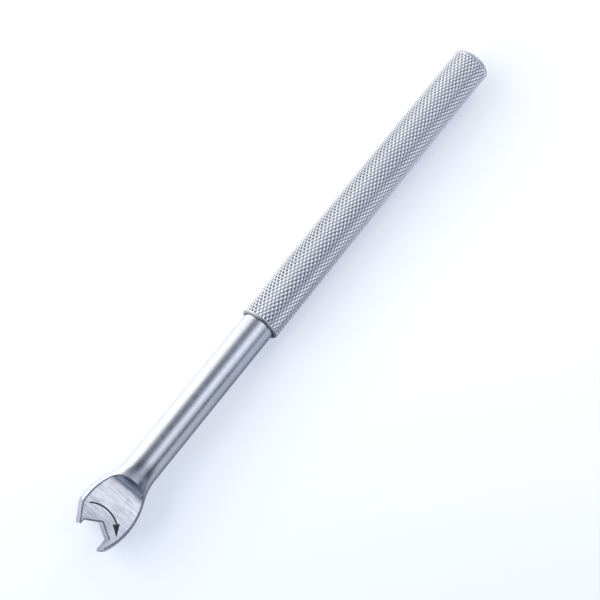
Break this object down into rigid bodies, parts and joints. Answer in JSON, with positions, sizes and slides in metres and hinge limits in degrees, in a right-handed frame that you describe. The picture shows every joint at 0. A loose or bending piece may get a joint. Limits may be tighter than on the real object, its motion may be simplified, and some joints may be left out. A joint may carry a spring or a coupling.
{
  "type": "orthopedic wrench",
  "caption": "Open hex wrench with uneven lips, a pear-shaped flat-faced head, a round shank and a knurled tube handle, for nuts on bone fixation hardware.",
  "frame": {"origin": "centre of the nut in the jaw, midway between the head's two ground faces", "axes": "+X from the jaw along the shank to the handle's end, +Y to the short lip's side, +Z along the nut's axis, out of the face with the arrow"},
  "size_m": [0.2101, 0.0184, 0.0138],
  "materials": {
    "satin_steel": "fine ground stainless steel, satin on the shank and cross-ground on the head's faces",
    "knurled_steel": "fine diamond knurl with bright tips and dark grooves",
    "turned_steel": "turned stainless steel with fine rings",
    "arrow_black": "black enamel in a shallow engraved line"
  },
  "bodies": {
    "root": {"wrench_shank": "satin_steel", "knurled_handle": "knurled_steel", "handle_end_plug": "turned_steel"}
  },
  "joints": []
}
